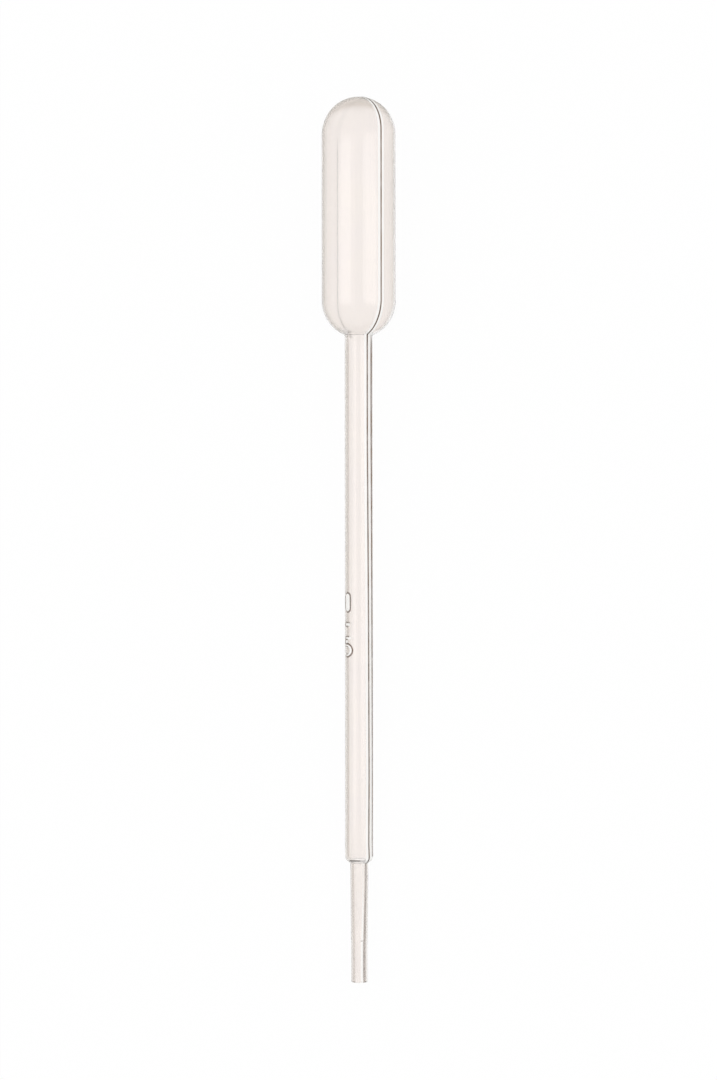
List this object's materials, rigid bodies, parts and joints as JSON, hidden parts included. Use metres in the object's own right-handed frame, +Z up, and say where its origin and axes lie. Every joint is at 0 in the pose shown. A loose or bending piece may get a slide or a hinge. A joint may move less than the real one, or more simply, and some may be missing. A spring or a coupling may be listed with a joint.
{
  "type": "plastic dropper pipette",
  "caption": "Transfer pipette moulded in one piece: squeeze bulb, straight graduated stem and narrow drawn tip.",
  "frame": {"origin": "on the bench, under the centre of the bounding box of the pipette as it lies", "axes": "+Z up; +Y towards the bulb, -Y towards the open tip; the axis falls 2.4 degrees towards the tip"},
  "size_m": [0.013, 0.155, 0.0142],
  "materials": {
    "soft_clear_plastic": "translucent natural low-density polyethylene, soft satin sheen"
  },
  "bodies": {
    "root": {"pipette": "soft_clear_plastic"}
  },
  "joints": []
}
